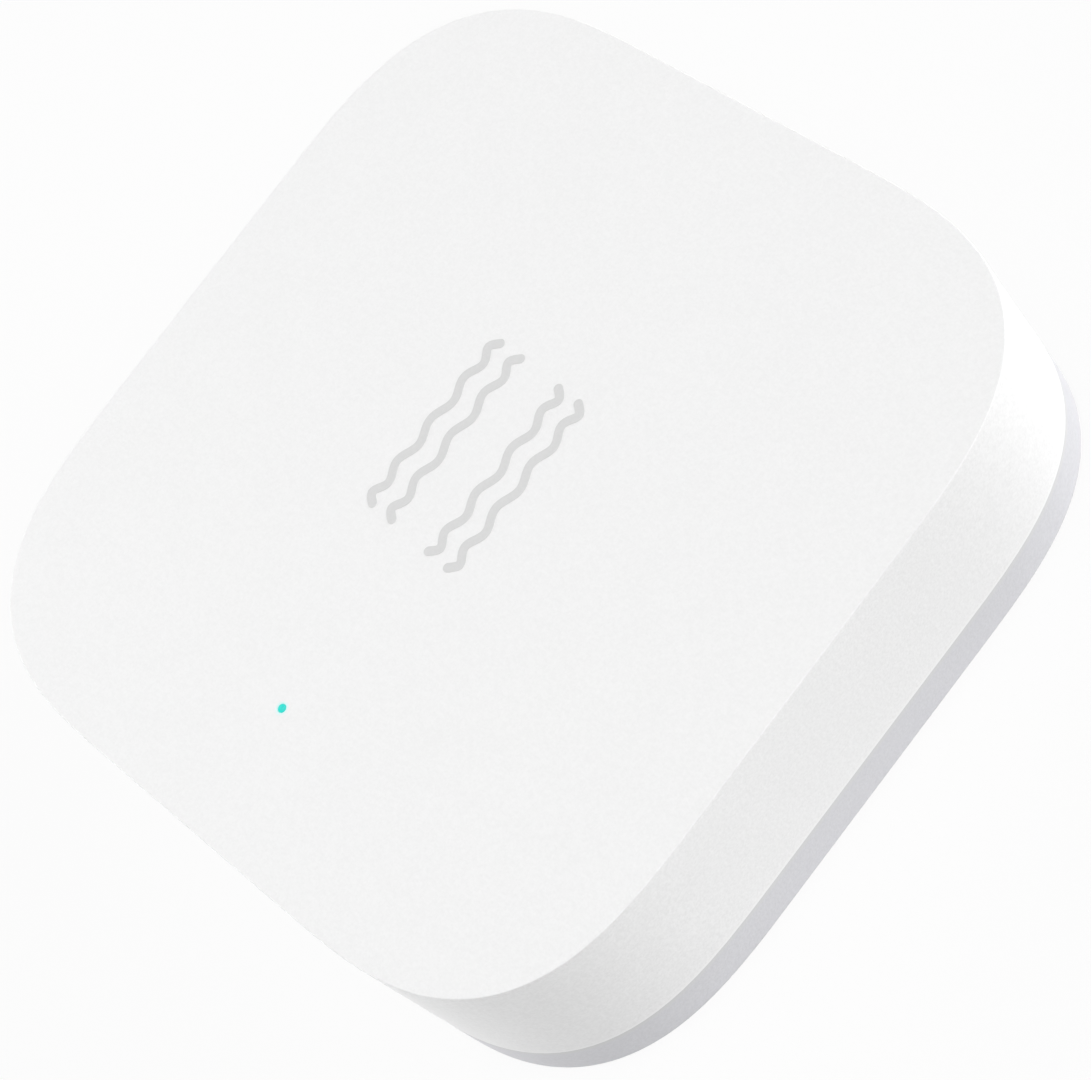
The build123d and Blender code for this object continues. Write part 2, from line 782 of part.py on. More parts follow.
# Cell cap: the negative pole, a stepped cup inside the gasket
shoulder_level = gasket_level - gasket_thickness / 2 - cell_inner_gap - cell_sheet / 2
skirt_radius = gasket_radius - gasket_thickness / 2 - cell_inner_gap - cell_sheet / 2
with BuildPart() as cell_cap:
    with BuildSketch(Plane.XZ):
        with BuildLine() as cap_line:
            FilletPolyline(
                (0, cell_top - cell_sheet / 2),
                (cap_top_radius, cell_top - cell_sheet / 2),
                (cap_top_radius + cap_slope_run, shoulder_level),
                (skirt_radius, shoulder_level),
                (skirt_radius, shoulder_level - cap_skirt_length),
                radius=cell_bend_radius,
            )
        trace(cap_line.line, line_width=cell_sheet)
    revolve(axis=Axis.Z)

cell_cap.part.label = "cell_cap"
export_step(cell_cap.part, "parts/cell_cap.step")

# What the cell holds: a pressed cathode, a paper separator and a lithium disc
fill_radius = skirt_radius - cell_sheet / 2 - cell_inner_gap
separator_level = inside_bottom + cathode_height + cell_inner_gap
anode_level = separator_level + separator_height + cell_inner_gap
with BuildPart() as cell_cathode:
    with BuildSketch(Plane.XY.offset(inside_bottom)):
        Circle(fill_radius)
    extrude(amount=cathode_height)

cell_cathode.part.label = "cell_cathode"
export_step(cell_cathode.part, "parts/cell_cathode.step")

with BuildPart() as cell_separator:
    with BuildSketch(Plane.XY.offset(separator_level)):
        Circle(fill_radius)
    extrude(amount=separator_height)

cell_separator.part.label = "cell_separator"
export_step(cell_separator.part, "parts/cell_separator.step")

with BuildPart() as cell_anode:
    with BuildSketch(Plane.XY.offset(anode_level)):
        Circle(cap_top_radius - cell_sheet)
    extrude(amount=cell_top - cell_sheet - cell_inner_gap - anode_level)

cell_anode.part.label = "cell_anode"
export_step(cell_anode.part, "parts/cell_anode.step")

# Radio chip, with a row of leads along each side
with BuildPart() as radio_chip:
    with Locations(*on_board([radio_place_share])):
        add(plain_chip(radio_size))
        length, width, _ = radio_size
        for turn, across, along in ((0, length, width), (90, width, length)):
            lead_count = int((along - 2 * lead_pitch) / lead_pitch) + 1
            with Locations(Location((0, 0, lead_height / 2), (0, 0, turn))):
                with GridLocations(across + lead_proud, lead_pitch, 2, lead_count):
                    Box(lead_proud, lead_width, lead_height)

radio_chip.part.label = "radio_chip"
export_step(radio_chip.part, "parts/radio_chip.step")

# Accelerometer chip, which feels the vibration
with BuildPart() as accelerometer_chip:
    with Locations(*on_board([accelerometer_place_share])):
        add(plain_chip(accelerometer_size))

accelerometer_chip.part.label = "accelerometer_chip"
export_step(accelerometer_chip.part, "parts/accelerometer_chip.step")

# Crystals of the radio and of the clock
with BuildPart() as main_crystal:
    with Locations(*on_board([main_crystal_place_share])):
        add(crystal_can(main_crystal_size))

main_crystal.part.label = "main_crystal"
export_step(main_crystal.part, "parts/main_crystal.step")

with BuildPart() as clock_crystal:
    with Locations(*on_board([clock_crystal_place_share])):
        add(crystal_can(clock_crystal_size))

clock_crystal.part.label = "clock_crystal"
export_step(clock_crystal.part, "parts/clock_crystal.step")

# Small circuit parts, each kind in one group
with BuildPart() as buffer_capacitors:
    with Locations(*on_board(buffer_place_shares)):
        add(two_ended_chip(buffer_capacitor_size))

buffer_capacitors.part.label = "buffer_capacitors"
export_step(buffer_capacitors.part, "parts/buffer_capacitors.step")

with BuildPart() as capacitors:
    with Locations(*on_board(capacitor_place_shares)):
        add(two_ended_chip(capacitor_size))

capacitors.part.label = "capacitors"
export_step(capacitors.part, "parts/capacitors.step")

with BuildPart() as resistors:
    with Locations(*on_board(resistor_place_shares)):
        add(two_ended_chip(resistor_size))

resistors.part.label = "resistors"
export_step(resistors.part, "parts/resistors.step")

with BuildPart() as inductors:
    with Locations(*on_board(inductor_place_shares)):
        add(two_ended_chip(inductor_size))

inductors.part.label = "inductors"
export_step(inductors.part, "parts/inductors.step")

# Signal light chip under the light pipe
with BuildPart() as led_chip:
    with Locations((light_shift, light_reach, board_top)):
        Box(led_length, led_width, led_base_height, align=(Align.CENTER, Align.CENTER, Align.MIN))
        Box(led_lens_length, led_width, led_height, align=(Align.CENTER, Align.CENTER, Align.MIN))

led_chip.part.label = "led_chip"
export_step(led_chip.part, "parts/led_chip.step")

# Printed antenna: a copper track that doubles back along the -X edge of the board
antenna_outside = antenna_margin - board_half
with BuildPart() as printed_antenna:
    with BuildSketch(Plane.XY.offset(board_top)):
        for turn in range(antenna_turns + 1):
            along = (turn - antenna_turns / 2) * antenna_pitch
            with Locations((antenna_outside, along)):
                Rectangle(antenna_length, antenna_track, align=(Align.MIN, Align.CENTER))
        for turn in range(antenna_turns):
            along = (turn - (antenna_turns - 1) / 2) * antenna_pitch
            link = antenna_outside + (antenna_length - antenna_track) * (turn % 2)
            with Locations((link, along)):
                Rectangle(antenna_track, antenna_pitch + antenna_track, align=(Align.MIN, Align.CENTER))
    extrude(amount=copper_thickness)

printed_antenna.part.label = "printed_antenna"
export_step(printed_antenna.part, "parts/printed_antenna.step")

# Test points: round pads in a row under the board
with BuildPart() as test_points:
    with BuildSketch(Plane.XY.offset(board_bottom - copper_thickness)):
        with Locations((0, test_point_margin - board_half)):
            with GridLocations(test_point_pitch, 0, test_point_count, 1):
                Circle(test_point_diameter / 2)
    extrude(amount=copper_thickness)

test_points.part.label = "test_points"
export_step(test_points.part, "parts/test_points.step")
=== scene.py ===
import logging
from dataclasses import dataclass, field
from enum import Enum
from functools import reduce
from math import atan2, cos, pi, radians, sin

import bpy
from mathutils import Matrix, Vector


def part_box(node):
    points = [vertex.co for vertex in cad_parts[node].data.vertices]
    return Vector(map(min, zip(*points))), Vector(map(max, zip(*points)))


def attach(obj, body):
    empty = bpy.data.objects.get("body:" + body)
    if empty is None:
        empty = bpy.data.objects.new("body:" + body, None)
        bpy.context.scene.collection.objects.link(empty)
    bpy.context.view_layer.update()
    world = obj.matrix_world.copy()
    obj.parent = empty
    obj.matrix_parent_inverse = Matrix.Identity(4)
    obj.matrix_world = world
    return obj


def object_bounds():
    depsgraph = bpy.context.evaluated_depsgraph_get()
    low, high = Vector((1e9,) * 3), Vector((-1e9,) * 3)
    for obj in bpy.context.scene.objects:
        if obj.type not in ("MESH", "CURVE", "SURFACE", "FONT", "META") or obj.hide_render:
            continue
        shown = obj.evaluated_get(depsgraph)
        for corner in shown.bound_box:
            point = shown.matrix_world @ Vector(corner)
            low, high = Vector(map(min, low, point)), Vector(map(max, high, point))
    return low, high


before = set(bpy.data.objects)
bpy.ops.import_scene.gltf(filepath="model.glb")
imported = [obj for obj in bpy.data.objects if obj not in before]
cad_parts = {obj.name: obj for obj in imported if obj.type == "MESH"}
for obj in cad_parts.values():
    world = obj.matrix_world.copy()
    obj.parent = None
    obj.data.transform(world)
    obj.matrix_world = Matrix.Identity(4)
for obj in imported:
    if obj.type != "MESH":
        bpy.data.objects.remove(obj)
cad_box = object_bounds()

logging.basicConfig(level=logging.INFO, format="%(name)s: %(message)s")
log = logging.getLogger("sensor_tag")

Color = tuple[float, float, float]
Point = tuple[float, float, float]
Span = tuple[float, float]

MM = 0.001
WHITE = (1.0, 1.0, 1.0, 1.0)

# Blender's noise lies mostly inside this span, about this middle
NOISE_SPAN: Span = (0.3, 0.7)
NOISE_MIDDLE = 0.5

# Numbers of the Mix node's two colour inputs and of its colour output
MIX_LOW, MIX_HIGH, MIX_RESULT = 6, 7, 2


# Numbers and places


def shade(color: Color, amount: float) -> Color:
    """Colour made lighter or darker by a factor, kept at or under 1."""
    return tuple(min(1.0, channel * amount) for channel in color)


def around(middle: float, changes: Span) -> Span:
    """Both ends of a range that is given by its changes from a middle value."""
    return middle + changes[0], middle + changes[1]


def middle_of(node: str) -> Vector:
    """Middle of a CAD node's box."""
    low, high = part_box(node)
    return (Vector(low) + Vector(high)) / 2.0


# Shader maths


class Value:
    """One output socket of a shader; arithmetic on it adds Math nodes."""

    def __init__(self, sheet: "ShaderSheet", socket: bpy.types.NodeSocket) -> None:
        """Keeps the socket and the sheet that it belongs to."""
        self.sheet = sheet
        self.socket = socket

    def _math(self, operation: str, *values: "Value | float") -> "Value":
        """Result of one Math node, whose operation has Blender's name for it."""
        return self.sheet.node("ShaderNodeMath", {"operation": operation}, dict(enumerate(values)))

    def __add__(self, other: "Value | float") -> "Value":
        """Sum."""
        return self._math("ADD", self, other)

    __radd__ = __add__

    def __sub__(self, other: "Value | float") -> "Value":
        """Difference."""
        return self._math("SUBTRACT", self, other)

    def __rsub__(self, other: float) -> "Value":
        """Difference from a number."""
        return self._math("SUBTRACT", other, self)

    def __mul__(self, other: "Value | float") -> "Value":
        """Product."""
        return self._math("MULTIPLY", self, other)

    __rmul__ = __mul__

    def __pow__(self, other: float) -> "Value":
        """Power."""
        return self._math("POWER", self, other)

    def __gt__(self, other: float) -> "Value":
        """1 where this is the larger, and 0 elsewhere."""
        return self._math("GREATER_THAN", self, other)

    def __lt__(self, other: float) -> "Value":
        """1 where this is the smaller, and 0 elsewhere."""
        return self._math("LESS_THAN", self, other)

    def __abs__(self) -> "Value":
        """Size without its sign."""
        return self._math("ABSOLUTE", self)

    def highest(self, other: "Value") -> "Value":
        """The larger of two values."""
        return self._math("MAXIMUM", self, other)

    def diagonal(self, other: "Value") -> "Value":
        """Length of the diagonal over this value and another."""
        return (self * self + other * other) ** 0.5

    def blend(self, other: "Value", share: float) -> "Value":
        """Sum of this value by its share and another by the rest."""
        return self * share + other * (1.0 - share)

    def wave(self) -> "Value":
        """Sine of this value in radians, brought to 0 to 1."""
        return self._math("SINE", self) * 0.5 + 0.5

    def wrapped(self, step: float) -> "Value":
        """Distance to the middle of the repeated step that this value lies in."""
        return abs(self._math("PINGPONG", self, step) - step / 2.0)

    def stepped(self, step: float) -> "Value":
        """Start of the repeated step that this value lies in."""
        return self._math("SNAP", self, step)

    def ramp(self, low: float, high: float, start: float = 0.0, end: float = 1.0) -> "Value":
        """Smooth step: the start where this is under low, and the end where it is over high."""
        sockets = {0: self, 1: low, 2: high, 3: start, 4: end}
        return self.sheet.node("ShaderNodeMapRange", {"interpolation_type": "SMOOTHSTEP"}, sockets)

    def evened(self, start: float = 0.0, end: float = 1.0) -> "Value":
        """Noise that is brought to its full range, from the start to the end."""
        return self.ramp(*NOISE_SPAN, start, end)


class ShaderSheet:
    """Node sheet of one material or world, built by code."""

    def __init__(self, owner: bpy.types.Material | bpy.types.World) -> None:
        """Empties the sheet of a material or world.

        Args:
            owner: The material or world.
        """
        self.owner = owner
        self.owner.use_nodes = True
        self.tree = owner.node_tree
        self.tree.nodes.clear()

    def node(
        self,
        kind: str,
        settings: dict[str, object] | None = None,
        sockets: dict[int | str, object] | None = None,
        output: int | str = 0,
    ) -> Value:
        """Adds any node.

        Args:
            kind: The node's type.
            settings: Its properties, which are set before its sockets.
            sockets: Values, colours or links of its inputs, by number or name.
            output: Number or name of the output to return.

        Returns:
            The chosen output, or the first input's socket for a node with no output.
        """
        made = self.tree.nodes.new(kind)
        for name, setting in (settings or {}).items():
            setattr(made, name, setting)
        for name, content in (sockets or {}).items():
            if isinstance(content, Value):
                self.tree.links.new(content.socket, made.inputs[name])
            else:
                made.inputs[name].default_value = content
        if not made.outputs:
            return Value(self, made.inputs[0])
        return Value(self, made.outputs[output])

    def place(self) -> Value:
        """Object coordinates, in metres."""
        return self.node("ShaderNodeTexCoord", output="Object")

    def parts(self, vector: Value) -> tuple[Value, Value, Value]:
        """The three parts of a vector."""
        split = self.node("ShaderNodeSeparateXYZ", None, {0: vector}).socket.node
        return tuple(Value(self, output) for output in split.outputs)

    def axes(self) -> tuple[Value, Value, Value]:
        """The three object coordinates as separate values."""
        return self.parts(self.place())

    def flatness(self) -> Value:
        """1 where the surface lies flat, down to 0 where it is upright."""
        return abs(self.parts(self.node("ShaderNodeNewGeometry", output="Normal"))[2])

    def joined(self, x: Value, y: Value) -> Value:
        """A vector of two values, with nothing along Z."""
        return self.node("ShaderNodeCombineXYZ", None, {0: x, 1: y})

    def stretched(self, scale: Point) -> Value:
        """Object coordinates scaled apart along the three axes."""
        return self.node("ShaderNodeMapping", None, {"Vector": self.place(), "Scale": scale})

    def noise(self, size: float, detail: float, vector: Value | None = None) -> Value:
        """Smooth noise from 0 to 1, with blotches of a size in metres and finer layers on them."""
        sockets = {"Vector": vector or self.place(), "Scale": 1.0 / size, "Detail": detail}
        return self.node("ShaderNodeTexNoise", None, sockets)

    def cells(self, size: float) -> Value:
        """Distance to the middle of random cells of a size in metres."""
        return self.node("ShaderNodeTexVoronoi", None, {"Vector": self.place(), "Scale": 1.0 / size})

    def mix(self, factor: Value, low: Value | Color, high: Value | Color) -> Value:
        """Mixes two colours.

        Args:
            factor: 0 gives the first colour and 1 the second.
            low: First colour.
            high: Second colour.

        Returns:
            The mixed colour.
        """
        first, second = (color if isinstance(color, Value) else (*color, 1.0) for color in (low, high))
        sockets = {0: factor, MIX_LOW: first, MIX_HIGH: second}
        return self.node("ShaderNodeMix", {"data_type": "RGBA"}, sockets, MIX_RESULT)

    def toned(self, factor: Value, color: Color, tones: Span) -> Value:
        """Mixes a darker and a lighter form of one colour."""
        return self.mix(factor, shade(color, tones[0]), shade(color, tones[1]))

    def bump(self, height: Value, distance: float) -> Value:
        """Surface normal of a height from 0 to 1 that stands for a distance in metres."""
        return self.node("ShaderNodeBump", None, {"Height": height, "Distance": distance})

    def surface(self, **sockets: object) -> bpy.types.Material:
        """Ends the sheet with a Principled surface.

        Args:
            sockets: Its inputs, with spaces in their names written as underscores.

        Returns:
            The finished material.
        """
        named = {}
        for name, content in sockets.items():
            if isinstance(content, tuple) and len(content) == 3:
                content = (*content, 1.0)
            named[name.replace("_", " ")] = content
        return self.close(self.node("ShaderNodeBsdfPrincipled", None, named))

    def close(self, shader: Value) -> bpy.types.Material:
        """Links a shader to the material's output and returns the material."""
        self.node("ShaderNodeOutputMaterial", None, {"Surface": shader})
        return self.owner


# Finishes


@dataclass(frozen=True)
class Finish:
    """What every finish has: a name and a main colour."""

    name: str
    color: Color

    def sheet(self) -> ShaderSheet:
        """Empty node sheet of a new material of this name."""
        return ShaderSheet(bpy.data.materials.new(self.name))


@dataclass(frozen=True)
class MouldedPlastic(Finish):
    """Injection moulded plastic with a fine spark-eroded grain, which shows most on upright walls."""

    roughness: float = 0.5
    roughness_change: Span = (-0.05, 0.05)
    roughness_span: Span = (0.25, 0.75)
    grain_size: float = 0.1 * MM
    grain_depth: float = 0.009 * MM
    grain_share: float = 0.56
    mottle_per_grain: float = 1.8
    mottle_share: float = 0.36
    pit_per_grain: float = 1.7
    pit_share: float = 0.25
    cloud_size: float = 6.0 * MM
    tone_change: float = 0.044
    face_share: float = 0.54
    wall_to_face: Span = (0.4, 0.8)

    def make(self) -> bpy.types.Material:
        """Builds the material.

        Returns:
            The finished material.
        """
        sheet = self.sheet()
        grain = sheet.noise(self.grain_size, detail=3.0)
        mottle = sheet.noise(self.grain_size * self.mottle_per_grain, detail=1.0)
        cloud = sheet.noise(self.cloud_size, detail=2.0)
        pits = sheet.cells(self.grain_size * self.pit_per_grain)
        cloud_share = 1.0 - self.grain_share - self.mottle_share
        mixed = grain * self.grain_share + mottle * self.mottle_share + cloud * cloud_share
        contrast = sheet.flatness().ramp(*self.wall_to_face, 1.0, self.face_share)
        tone = (mixed.evened() - NOISE_MIDDLE) * contrast + NOISE_MIDDLE
        tones = around(1.0, (-self.tone_change, self.tone_change))
        roughness = around(self.roughness, self.roughness_change)
        return sheet.surface(
            Base_Color=self.tint(sheet, sheet.toned(tone, self.color, tones)),
            Roughness=grain.ramp(*self.roughness_span, *roughness),
            Normal=sheet.bump(pits.blend(grain, self.pit_share), self.grain_depth),
        )

    def tint(self, sheet: ShaderSheet, color: Value) -> Value:
        """Colour over the whole piece, which a plastic of this kind leaves as it is."""
        return color


@dataclass(frozen=True)
class SeamLightPlastic(MouldedPlastic):
    """Moulded plastic with painted light in a narrow band beside the seam between cover and base."""

    seam_level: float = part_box("top_cover")[0][2]
    band_width: float = 0.16 * MM
    band_core: float = 0.6
    # Colour of the painted light band beside the seam, which stands in for light caught there
    seam_light_color: Color = (0.945, 0.945, 0.945)

    def tint(self, sheet: ShaderSheet, color: Value) -> Value:
        """Mixes in the colour of the painted light band beside the seam.

        Args:
            sheet: The material's node sheet.
            color: Colour of the plastic.

        Returns:
            The colour with the painted light band.
        """
        _, _, z = sheet.axes()
        away = abs(z - self.seam_level)
        # Painted light: the band where the surface lies near the seam's level
        band = away.ramp(self.band_width * self.band_core, self.band_width, 1.0, 0.0)
        return sheet.mix(band, color, self.seam_light_color)


@dataclass(frozen=True)
class CoverPlastic(SeamLightPlastic):
    """Cover's plastic, with a painted glow of the signal light around the light pipe's tip."""

    light_x: float = middle_of("light_pipe").x
    light_y: float = middle_of("light_pipe").y
    glow_reach: float = 0.36 * MM
    glow_core: float = 0.3
    # Colour of the painted glow that the signal light gives the cover
    glow_color: Color = (0.62, 0.97, 0.96)

    def tint(self, sheet: ShaderSheet, color: Value) -> Value:
        """Adds the painted glow around the tip to the painted light band beside the seam.

        Args:
            sheet: The material's node sheet.
            color: Colour of the plastic.

        Returns:
            The colour with the painted light band and the painted glow.
        """
        x, y, _ = sheet.axes()
        away = (x - self.light_x).diagonal(y - self.light_y)
        # Painted glow: the signal light's colour painted onto the cover around the tip
        painted_glow = away.ramp(self.glow_reach * self.glow_core, self.glow_reach, 1.0, 0.0)
        return sheet.mix(painted_glow, super().tint(sheet, color), self.glow_color)


@dataclass(frozen=True)
class SheetMetal(Finish):
    """Rolled, stamped or turned metal with fine streaks and faint smudges."""

    roughness: float = 0.28
    roughness_change: Span = (-0.06, 0.1)
    streaks: Point = (1.0, 14.0, 14.0)
    streak_size: float = 0.6 * MM
    streak_depth: float = 0.0005 * MM
    streak_tone: float = 0.6
    streak_gloss: float = 0.5
    smudge_size: float = 2.2 * MM
    tones: Span = (0.88, 1.06)

    def make(self) -> bpy.types.Material:
        """Builds the material.

        Returns:
            The finished material.
        """
        sheet = self.sheet()
        streak = sheet.noise(self.streak_size, detail=4.0, vector=sheet.stretched(self.streaks))
        smudge = sheet.noise(self.smudge_size, detail=3.0)
        gloss = streak.blend(smudge, self.streak_gloss)
        return sheet.surface(
            Base_Color=sheet.toned(streak.blend(smudge, self.streak_tone).evened(), self.color, self.tones),
            Metallic=1.0,
            Roughness=gloss.evened(*around(self.roughness, self.roughness_change)),
            Normal=sheet.bump(streak, self.streak_depth),
        )


@dataclass(frozen=True)
class TurnedCan(Finish):
    """Bright steel of the cell's can and cap, with faint rings about their axis."""

    ring_pitch: float = 0.11 * MM
    ring_depth: float = 0.0004 * MM
    ring_share: float = 0.6
    roughness: float = 0.24
    roughness_change: Span = (-0.02, 0.05)
    handling_size: float = 0.35 * MM
    handling_run: Point = (1.0, 0.35, 1.0)
    handling_tone: float = 0.4
    handling_gloss: float = 0.5
    smudge_size: float = 3.5 * MM
    tones: Span = (0.95, 1.03)

    def make(self) -> bpy.types.Material:
        """Builds the material.

        Returns:
            The finished material.
        """
        sheet = self.sheet()
        x, y, _ = sheet.axes()
        rings = (x.diagonal(y) * (2.0 * pi / self.ring_pitch)).wave()
        handling = sheet.noise(self.handling_size, detail=5.0, vector=sheet.stretched(self.handling_run))
        smudge = sheet.noise(self.smudge_size, detail=3.0)
        tone = handling.blend(smudge, self.handling_tone).evened()
        gloss = handling.blend(smudge, self.handling_gloss)
        return sheet.surface(
            Base_Color=sheet.toned(tone, self.color, self.tones),
            Metallic=1.0,
            Roughness=gloss.evened(*around(self.roughness, self.roughness_change)),
            Normal=sheet.bump(rings.blend(handling, self.ring_share), self.ring_depth),
        )


@dataclass(frozen=True)
class FoamTape(Finish):
    """Closed-cell foam: fine cells over faint blotches."""

    cell_size: float = 0.16 * MM
    cell_depth: float = 0.009 * MM
    cell_tone: float = 0.5
    blotch_size: float = 1.6 * MM
    tone_span: Span = (0.2, 0.7)
    tones: Span = (0.9, 1.04)
    roughness: Span = (0.62, 0.8)

    def make(self) -> bpy.types.Material:
        """Builds the material.

        Returns:
            The finished material.
        """
        sheet = self.sheet()
        cells = sheet.cells(self.cell_size)
        blotch = sheet.noise(self.blotch_size, detail=3.0)
        tone = cells.blend(blotch, self.cell_tone).ramp(*self.tone_span)
        return sheet.surface(
            Base_Color=sheet.toned(tone, self.color, self.tones),
            Roughness=blotch.evened(*self.roughness),
            Normal=sheet.bump(cells, self.cell_depth),
        )


@dataclass(frozen=True)
class LightGuide(Finish):
    """Clear plastic that is lit and glows where its tip comes through the face."""

    glow: Color
    unlit: Color = (0.72, 0.76, 0.76)
    tip_level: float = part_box("light_pipe")[1][2]
    unlit_depth: float = 0.9 * MM
    lit_depth: float = 0.3 * MM
    streak_size: float = 0.12 * MM
    streak_depth: float = 0.0006 * MM
    streak_span: Span = (0.2, 0.8)
    streak_light: Span = (0.9, 1.0)
    roughness: float = 0.22
    specular: float = 0.3
    clearness: float = 0.15

    def make(self) -> bpy.types.Material:
        """Builds the material.

        Returns:
            The finished material.
        """
        sheet = self.sheet()
        _, _, z = sheet.axes()
        lit = z.ramp(self.tip_level - self.unlit_depth, self.tip_level - self.lit_depth)
        streak = sheet.noise(self.streak_size, detail=2.0)
        light = lit * streak.ramp(*self.streak_span, *self.streak_light)
        return sheet.surface(
            Base_Color=sheet.mix(light, self.unlit, self.color),
            Roughness=self.roughness,
            Specular_IOR_Level=self.specular,
            Transmission_Weight=self.clearness,
            Emission_Color=sheet.mix(lit, (0.0, 0.0, 0.0), self.glow),
            Emission_Strength=1.0,
            Normal=sheet.bump(streak, self.streak_depth),
        )


@dataclass(frozen=True)
class GrainedMatter(Finish):
    """Even matter with a plain grain: screen printed ink, pressed powder, or felt."""

    grain_size: float = 0.2 * MM
    grain_depth: float = 0.012 * MM
    grain_detail: float = 5.0
    tones: Span = (0.75, 1.2)
    roughness: Span = (0.8, 0.95)

    def make(self) -> bpy.types.Material:
        """Builds the material.

        Returns:
            The finished material.
        """
        sheet = self.sheet()
        grain = sheet.noise(self.grain_size, self.grain_detail)
        return sheet.surface(
            Base_Color=sheet.toned(grain.evened(), self.color, self.tones),
            Roughness=grain.evened(*self.roughness),
            Normal=sheet.bump(grain, self.grain_depth),
        )


@dataclass(frozen=True)
class SolderMask(Finish):
    """Circuit board: solder mask over copper tracks, tented vias and a glass-fibre edge."""

    over_copper: Color
    edge: Color
    track_pitch: float = 0.55 * MM
    track_width: float = 0.2 * MM
    block: float = 2.2 * MM
    region_size: float = 6.0 * MM
    along_x_from: float = 0.52
    along_y_to: float = 0.46
    via_size: float = 0.6 * MM
    via_from_middle: float = 0.07
    copper_tone: float = 0.8
    copper_height: float = 0.85
    relief: float = 0.009 * MM
    weave_size: float = 0.5 * MM
    fibre_size: float = 0.1 * MM
    fibre_run: Point = (1.0, 1.0, 9.0)
    fibre_tones: Span = (0.8, 1.1)
    edge_to_face: Span = (0.4, 0.6)
    mask_roughness: float = 0.32
    edge_roughness: float = 0.75
    coat: float = 0.25

    def make(self) -> bpy.types.Material:
        """Builds the material.

        Returns:
            The finished material.
        """
        sheet = self.sheet()
        copper = self.copper(sheet)
        weave = sheet.noise(self.weave_size, detail=2.0)
        fibres = sheet.noise(self.fibre_size, detail=3.0, vector=sheet.stretched(self.fibre_run))
        face = sheet.mix(copper * self.copper_tone, self.color, self.over_copper)
        rim = sheet.flatness().ramp(*self.edge_to_face, 1.0, 0.0)
        return sheet.surface(
            Base_Color=sheet.mix(rim, face, sheet.toned(fibres, self.edge, self.fibre_tones)),
            Roughness=rim.ramp(0.0, 1.0, self.mask_roughness, self.edge_roughness),
            Coat_Weight=rim.ramp(0.0, 1.0, self.coat, 0.0),
            Normal=sheet.bump(copper.blend(weave, self.copper_height), self.relief),
        )

    def copper(self, sheet: ShaderSheet) -> Value:
        """1 over the copper: blocks of tracks along X or Y, and a via in the middle of some blocks.

        Args:
            sheet: The material's node sheet.

        Returns:
            The copper's mask.
        """
        x, y, _ = sheet.axes()
        block = sheet.joined(x.stepped(self.block), y.stepped(self.block))
        region = sheet.noise(self.region_size, detail=0.0, vector=block)
        along_x, along_y = (axis.wrapped(self.track_pitch) < self.track_width / 2.0 for axis in (y, x))
        tracks = along_x * (region > self.along_x_from) + along_y * (region < self.along_y_to)
        away = x.wrapped(self.block).diagonal(y.wrapped(self.block))
        vias = (away < self.via_size / 2.0) * (abs(region - NOISE_MIDDLE) > self.via_from_middle)
        return tracks.highest(vias)


@dataclass(frozen=True)
class ChipPlace:
    """Middle, turn and size of one small circuit part, in metres and degrees."""

    x: float
    y: float
    turn: float
    length: float
    width: float


@dataclass(frozen=True)
class EndedCeramic(Finish):
    """Ceramic body with tinned ends, for parts whose places are known."""

    places: tuple[ChipPlace, ...]
    terminal: float = 0.35 * MM
    margin: float = 0.1 * MM
    tin: Color = (0.62, 0.61, 0.58)
    tin_tones: Span = (0.9, 1.08)
    tin_roughness: float = 0.3
    body_tones: Span = (0.85, 1.12)
    body_roughness: float = 0.45
    speck_size: float = 0.14 * MM
    speck_depth: float = 0.003 * MM

    def make(self) -> bpy.types.Material:
        """Builds the material.

        Returns:
            The finished material.
        """
        sheet = self.sheet()
        x, y, _ = sheet.axes()
        ends = reduce(Value.highest, [self.ends(x, y, place) for place in self.places])
        speck = sheet.noise(self.speck_size, detail=4.0)
        body = sheet.toned(speck.evened(), self.color, self.body_tones)
        tinned = sheet.toned(speck.evened(), self.tin, self.tin_tones)
        return sheet.surface(
            Base_Color=sheet.mix(ends, body, tinned),
            Metallic=ends,
            Roughness=ends.ramp(0.0, 1.0, self.body_roughness, self.tin_roughness),
            Normal=sheet.bump(speck, self.speck_depth),
        )

    def ends(self, x: Value, y: Value, place: ChipPlace) -> Value:
        """1 on the two tinned ends of one part.

        Args:
            x: Object coordinate along X.
            y: Object coordinate along Y.
            place: The part's place.

        Returns:
            The mask of its ends.
        """
        turn = radians(place.turn)
        ahead = (x - place.x) * cos(turn) + (y - place.y) * sin(turn)
        aside = (y - place.y) * cos(turn) - (x - place.x) * sin(turn)
        half_length, half_width = place.length / 2.0, place.width / 2.0
        near = (abs(ahead) < half_length + self.margin) * (abs(aside) < half_width + self.margin)
        return near * (abs(ahead) > half_length - self.terminal)


# Modelling helpers


class Bench:
    """Selection, mode and naming steps that every new piece needs."""

    @staticmethod
    def clear() -> None:
        """Leaves edit mode and deselects everything."""
        if bpy.context.object and bpy.context.object.mode != "OBJECT":
            bpy.ops.object.mode_set(mode="OBJECT")
        bpy.ops.object.select_all(action="DESELECT")

    @classmethod
    def pick(cls, item: bpy.types.Object) -> None:
        """Selects one object alone and makes it active.

        Args:
            item: The object.
        """
        cls.clear()
        item.select_set(True)
        bpy.context.view_layer.objects.active = item

    @classmethod
    def settle(
        cls, item: bpy.types.Object, name: str, material: bpy.types.Material, body: str, slot: str
    ) -> None:
        """Finishes a piece: place in its mesh, name, material and body.

        Args:
            item: The piece.
            name: Its name.
            material: Its material.
            body: The body that it rides on.
            slot: Not used.
        """
        cls.pick(item)
        bpy.ops.object.transform_apply(location=True, rotation=True, scale=True)
        item.name = name
        item.data.name = name
        item.data.materials.clear()
        item.data.materials.append(material)
        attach(item, body)
        log.info("%s: %d faces, rides on %s", name, len(item.data.polygons), body)


